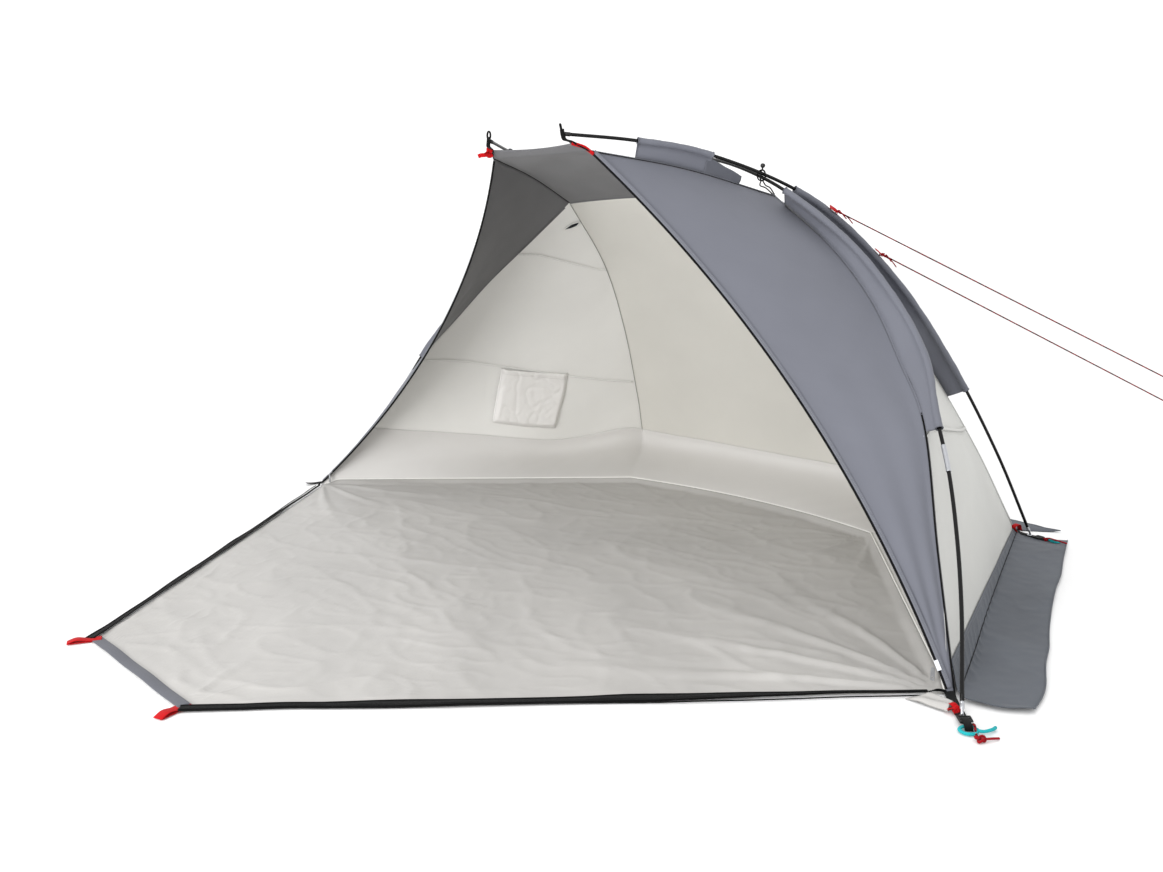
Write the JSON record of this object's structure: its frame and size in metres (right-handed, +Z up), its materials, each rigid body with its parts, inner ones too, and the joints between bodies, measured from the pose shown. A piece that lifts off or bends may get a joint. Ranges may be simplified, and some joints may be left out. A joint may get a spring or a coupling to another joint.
{
  "type": "beach shelter",
  "caption": "Freestanding tent-style tarp shelter: two side poles and a hoop hold a canopy over a groundsheet whose front half zips up as a door.",
  "frame": {"origin": "on the ground, in the middle of the line where the door meets the groundsheet", "axes": "+X along the opening to the right hand of someone looking in, +Y into the shelter, +Z up"},
  "size_m": [3.034, 2.979, 1.2683],
  "materials": {
    "grey_fabric": "coated polyester, matt",
    "beige_fabric": "polyester, matt",
    "ground_fabric": "coated polyethylene, faint sheen",
    "flap_fabric": "polyester, matt",
    "fibreglass": "black lacquered fibreglass",
    "steel": "bright zinc plate",
    "black_webbing": "woven",
    "red_webbing": "woven",
    "elastic": "braided cover",
    "rope": "braided, red with black flecks"
  },
  "bodies": {
    "shelter": {"coving": "beige_fabric", "crossing_tie_left": "black_webbing", "crossing_tie_right": "black_webbing", "foot_pin_front_left": "steel", "foot_pin_front_right": "steel", "foot_pin_rear_left": "steel", "foot_pin_rear_right": "steel", "foot_strap_front_left": "black_webbing", "foot_strap_front_right": "black_webbing", "foot_strap_rear_left": "black_webbing", "foot_strap_rear_right": "black_webbing", "front_panel_left": "grey_fabric", "front_panel_right": "grey_fabric", "front_roof": "grey_fabric", "front_sleeve_left": "grey_fabric", "front_sleeve_right": "grey_fabric", "groundsheet": "ground_fabric", "guy_loop_1": "rope", "guy_loop_2": "rope", "guy_rope_1": "rope", "guy_rope_2": "rope", "hoop_ferrule_left": "steel", "hoop_ferrule_right": "steel", "hoop_pole_section_1": "fibreglass", "hoop_pole_section_2": "fibreglass", "hoop_pole_section_3": "fibreglass", "hoop_pole_section_4": "fibreglass", "hoop_shock_cord": "elastic", "hoop_sleeve_left": "grey_fabric", "hoop_sleeve_right": "grey_fabric", "opening_zip_left": "black_webbing", "opening_zip_right": "black_webbing", "rear_sleeve_left": "grey_fabric", "rear_sleeve_right": "grey_fabric", "rear_wall": "beige_fabric", "sand_flap_left": "flap_fabric", "sand_flap_rear": "flap_fabric", "sand_flap_right": "flap_fabric", "side_pole_left_section_1": "fibreglass", "side_pole_left_section_2": "fibreglass", "side_pole_left_section_3": "fibreglass", "side_pole_right_section_1": "fibreglass", "side_pole_right_section_2": "fibreglass", "side_pole_right_section_3": "fibreglass", "side_shock_cord_left": "elastic", "side_shock_cord_right": "elastic", "side_wall_left": "beige_fabric", "side_wall_right": "beige_fabric", "tip_strap_left": "black_webbing", "tip_strap_right": "black_webbing", "wall_pocket": "beige_fabric"},
    "door": {"door": "ground_fabric", "door_zip_left": "black_webbing", "door_zip_right": "black_webbing", "door_pull_left": "red_webbing", "door_pull_right": "red_webbing"},
    "slider_left": {"slider_left": "steel"},
    "slider_right": {"slider_right": "steel"},
    "zip_pull_left": {"zip_pull_left": "steel"},
    "zip_pull_right": {"zip_pull_right": "steel"}
  },
  "joints": [
    {"name": "door_fold", "type": "hinge", "parent": "shelter", "child": "door", "pos_m": [0, -0.012, 0.001], "axis": [-1, 0, 0], "range_deg": [0, 84]},
    {"name": "slide_left", "type": "hinge", "parent": "shelter", "child": "slider_left", "pos_m": [-0.777, -2.02896, 0.6015], "axis": [0.7225, 0, -0.6914], "range_deg": [0, 40]},
    {"name": "slide_right", "type": "hinge", "parent": "shelter", "child": "slider_right", "pos_m": [0.777, -2.02896, 0.6015], "axis": [0.7225, 0, 0.6914], "range_deg": [0, 40]},
    {"name": "pull_left", "type": "hinge", "parent": "slider_left", "child": "zip_pull_left", "pos_m": [-1.3016, 0.0144, 0.0458], "axis": [-1, 0, 0], "range_deg": [0, 100]},
    {"name": "pull_right", "type": "hinge", "parent": "slider_right", "child": "zip_pull_right", "pos_m": [1.3016, 0.0144, 0.0458], "axis": [-1, 0, 0], "range_deg": [0, 100]}
  ]
}
